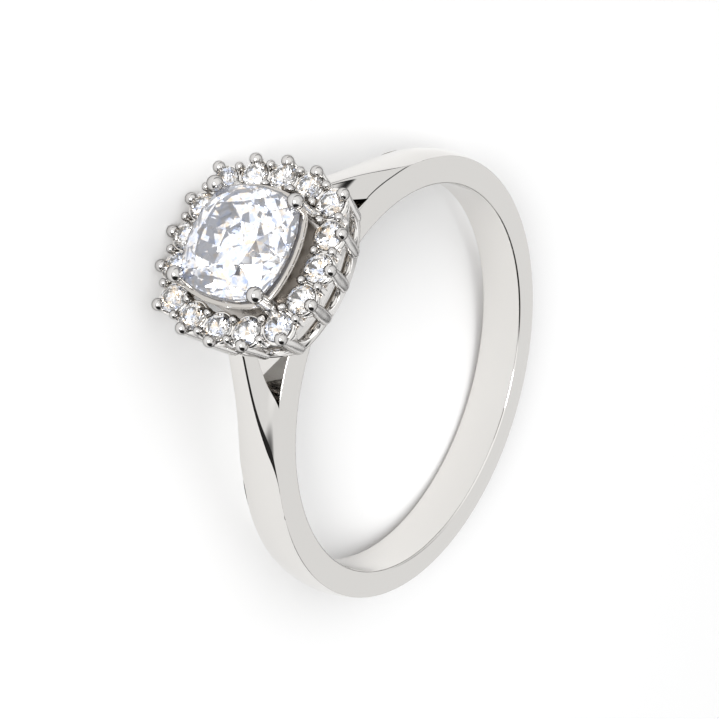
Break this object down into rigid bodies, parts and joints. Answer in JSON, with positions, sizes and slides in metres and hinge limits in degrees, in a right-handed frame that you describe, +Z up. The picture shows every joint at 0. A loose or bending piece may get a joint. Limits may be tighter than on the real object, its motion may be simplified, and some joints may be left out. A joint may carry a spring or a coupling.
{
  "type": "ring with a cushion halo head",
  "caption": "Polished silver finger ring whose split cathedral shoulders carry a cushion-shaped halo of round stones about a raised cushion-cut stone.",
  "frame": {"origin": "on the surface that the ring lies on, under the centre of its bounding box", "axes": "+X is level and points from the back of the band to the head; +Z is up, and the axis of the finger bore leans from it by about seven degrees, because the head is wider than the band"},
  "size_m": [0.0238, 0.019, 0.0076],
  "materials": {
    "polished_silver": "polished sterling silver",
    "centre_gem": "cut and polished clear cubic zirconia",
    "halo_gem": "cut and polished clear cubic zirconia"
  },
  "bodies": {
    "root": {"band_and_setting": "polished_silver", "centre_stone": "centre_gem", "halo_stone_01": "halo_gem", "halo_stone_02": "halo_gem", "halo_stone_03": "halo_gem", "halo_stone_04": "halo_gem", "halo_stone_05": "halo_gem", "halo_stone_06": "halo_gem", "halo_stone_07": "halo_gem", "halo_stone_08": "halo_gem", "halo_stone_09": "halo_gem", "halo_stone_10": "halo_gem", "halo_stone_11": "halo_gem", "halo_stone_12": "halo_gem", "halo_stone_13": "halo_gem", "halo_stone_14": "halo_gem", "halo_stone_15": "halo_gem", "halo_stone_16": "halo_gem"}
  },
  "joints": []
}
